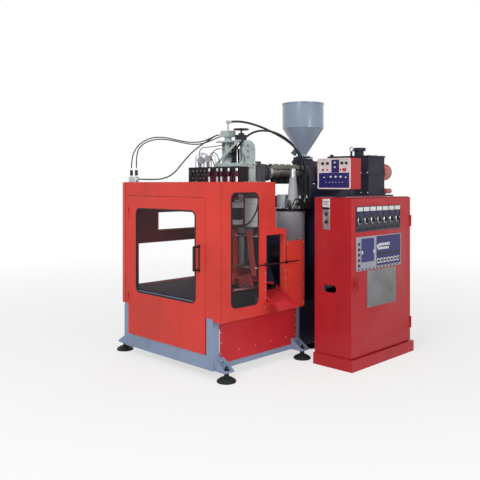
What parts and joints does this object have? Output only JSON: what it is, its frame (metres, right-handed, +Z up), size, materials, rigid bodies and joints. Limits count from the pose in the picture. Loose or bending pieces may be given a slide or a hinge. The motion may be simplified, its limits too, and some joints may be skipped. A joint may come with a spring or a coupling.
{
  "type": "blow moulding machine",
  "caption": "Extrusion blow moulding machine: guarded moulding cabin with shuttle clamp and blow pin, hopper-fed extruder on its base, and a control cabinet with pendant.",
  "frame": {"origin": "on the floor, under the middle of the machine's overall box", "axes": "+Z up, -Y towards the operator's safety door, +X towards the bottle outlet and control cabinet"},
  "size_m": [2.342, 3.339, 2.72],
  "materials": {
    "base_grey": "satin grey-blue paint",
    "cabin_red": "semi-gloss red paint",
    "skirt_red": "semi-gloss dark red paint",
    "bed_dark": "dark grey paint",
    "foot_black": "black",
    "clear_pane": "clear acrylic",
    "handle_black": "black moulded",
    "steel": "ground steel",
    "chrome": "hard chrome",
    "mould_alloy": "machined",
    "unit_green": "grey-green paint",
    "valve_black": "black paint",
    "band_steel": "stainless, heat tinted",
    "head_grey": "light grey heat-proof paint",
    "gear_navy": "dark grey-blue paint",
    "motor_red": "red paint",
    "hopper_blue": "grey-blue paint",
    "base_navy": "navy paint",
    "column_grey": "grey paint",
    "cabinet_red": "semi-gloss red paint",
    "knob_black": "black",
    "stop_red": "red",
    "button_white": "white",
    "hose_black": "black rubber"
  },
  "bodies": {
    "machine": {"base_frame": "base_grey", "levelling_feet": "foot_black", "bed_plate": "bed_dark", "front_panel": "cabin_red", "left_panel": "cabin_red", "right_panel": "cabin_red", "side_pane": "clear_pane", "roof_panel": "cabin_red", "lower_skirts": "skirt_red", "discharge_guard": "cabin_red", "rear_guard": "cabin_red", "discharge_chute": "skirt_red", "carriage_rails": "chrome", "shuttle_cylinder": "steel", "blow_frame": "unit_green", "blow_cylinder": "unit_green", "blow_manifold": "valve_black", "die_head": "head_grey", "barrel": "steel", "heater_bands": "band_steel", "gearbox": "gear_navy", "drive_motor": "motor_red", "hopper": "hopper_blue", "extruder_base": "base_navy", "accumulator_column": "column_grey", "valve_manifold": "valve_black", "control_cabinet": "cabinet_red", "pendant_post": "steel", "blow_supply_hose": "hose_black", "blow_return_hose": "hose_black", "terminal_lead": "hose_black", "second_lead": "hose_black", "roof_hose": "hose_black"},
    "safety_door": {"safety_door": "cabin_red", "door_pane": "clear_pane", "door_handle": "handle_black"},
    "carriage": {"clamp_frame": "cabin_red", "tie_bars": "chrome", "clamp_cylinders": "valve_black"},
    "left_clamp": {"left_platen": "skirt_red", "left_mould": "mould_alloy"},
    "right_clamp": {"right_platen": "skirt_red", "right_mould": "mould_alloy"},
    "blow_pin": {"blow_pin": "steel"},
    "handwheel": {"handwheel": "knob_black"},
    "screw": {"screw": "steel"},
    "hopper_gate": {"hopper_gate": "steel"},
    "cabinet_door": {"cabinet_door": "cabinet_red"},
    "cabinet_handle": {"cabinet_handle": "chrome"},
    "side_switch_upper": {"side_switch_upper": "knob_black"},
    "side_switch_lower": {"side_switch_lower": "knob_black"},
    "pendant": {"pendant_box": "cabinet_red"},
    "pendant_knob_1": {"pendant_knob_1": "knob_black"},
    "pendant_knob_2": {"pendant_knob_2": "knob_black"},
    "pendant_knob_3": {"pendant_knob_3": "knob_black"},
    "pendant_knob_4": {"pendant_knob_4": "knob_black"},
    "emergency_stop": {"emergency_stop": "stop_red"},
    "push_button_1": {"push_button_1": "button_white"},
    "push_button_2": {"push_button_2": "button_white"},
    "push_button_3": {"push_button_3": "button_white"}
  },
  "joints": [
    {"name": "door_hinge", "type": "hinge", "parent": "machine", "child": "safety_door", "pos_m": [-0.908, -1.5995, 0.9], "axis": [0, 0, -1], "range_deg": [0, 110]},
    {"name": "carriage_shuttle", "type": "slide", "parent": "machine", "child": "carriage", "axis": [0, -1, 0], "range_m": [0, 0.42]},
    {"name": "left_clamp_slide", "type": "slide", "parent": "carriage", "child": "left_clamp", "axis": [1, 0, 0], "range_m": [0, 0.1097]},
    {"name": "right_clamp_slide", "type": "slide", "parent": "carriage", "child": "right_clamp", "axis": [-1, 0, 0], "range_m": [0, 0.1097]},
    {"name": "blow_pin_stroke", "type": "slide", "parent": "machine", "child": "blow_pin", "axis": [0, 0, -1], "range_m": [0, 0.09]},
    {"name": "handwheel_spin", "type": "hinge", "parent": "machine", "child": "handwheel", "pos_m": [0.151, -0.9655, 2.345], "axis": [0, 0, 1], "continuous": true},
    {"name": "screw_spin", "type": "hinge", "parent": "machine", "child": "screw", "pos_m": [0.001, -0.1855, 1.92], "axis": [0, 1, 0], "continuous": true},
    {"name": "hopper_gate_slide", "type": "slide", "parent": "machine", "child": "hopper_gate", "axis": [1, 0, 0], "range_m": [0, 0.1]},
    {"name": "cabinet_door_hinge", "type": "hinge", "parent": "machine", "child": "cabinet_door", "pos_m": [1.139, 0.63, 0.88], "axis": [0, 0, 1], "range_deg": [0, 110]},
    {"name": "cabinet_handle_turn", "type": "hinge", "parent": "cabinet_door", "child": "cabinet_handle", "pos_m": [1.141, -0.3925, 0.826], "axis": [1, 0, 0], "range_deg": [0, 90]},
    {"name": "side_switch_upper_turn", "type": "hinge", "parent": "machine", "child": "side_switch_upper", "pos_m": [0.84, -0.4755, 1.499], "axis": [0, 1, 0], "range_deg": [0, 90]},
    {"name": "side_switch_lower_turn", "type": "hinge", "parent": "machine", "child": "side_switch_lower", "pos_m": [0.84, -0.4755, 1.42], "axis": [0, 1, 0], "range_deg": [0, 90]},
    {"name": "pendant_swivel", "type": "hinge", "parent": "machine", "child": "pendant", "pos_m": [0.8705, -0.298, 1.745], "axis": [0, 0, 1], "range_deg": [-30, 30]},
    {"name": "pendant_knob_1_turn", "type": "hinge", "parent": "pendant", "child": "pendant_knob_1", "pos_m": [0.73552, -0.3955, 2.0012], "axis": [0, 1, 0], "range_deg": [-45, 45]},
    {"name": "pendant_knob_2_turn", "type": "hinge", "parent": "pendant", "child": "pendant_knob_2", "pos_m": [0.79507, -0.3955, 2.0012], "axis": [0, 1, 0], "range_deg": [-45, 45]},
    {"name": "pendant_knob_3_turn", "type": "hinge", "parent": "pendant", "child": "pendant_knob_3", "pos_m": [0.96975, -0.3955, 2.0012], "axis": [0, 1, 0], "range_deg": [-45, 45]},
    {"name": "pendant_knob_4_turn", "type": "hinge", "parent": "pendant", "child": "pendant_knob_4", "pos_m": [1.02136, -0.3955, 2.0012], "axis": [0, 1, 0], "range_deg": [-45, 45]},
    {"name": "emergency_stop_press", "type": "slide", "parent": "pendant", "child": "emergency_stop", "axis": [0, 1, 0], "range_m": [0, 0.005], "stiffness_N_per_m": 800},
    {"name": "push_button_1_press", "type": "slide", "parent": "pendant", "child": "push_button_1", "axis": [0, 1, 0], "range_m": [0, 0.004], "stiffness_N_per_m": 500},
    {"name": "push_button_2_press", "type": "slide", "parent": "pendant", "child": "push_button_2", "axis": [0, 1, 0], "range_m": [0, 0.004], "stiffness_N_per_m": 500},
    {"name": "push_button_3_press", "type": "slide", "parent": "pendant", "child": "push_button_3", "axis": [0, 1, 0], "range_m": [0, 0.004], "stiffness_N_per_m": 500}
  ],
  "couplings": [
    {"joint": "right_clamp_slide", "follows": "left_clamp_slide", "ratio": 1}
  ]
}
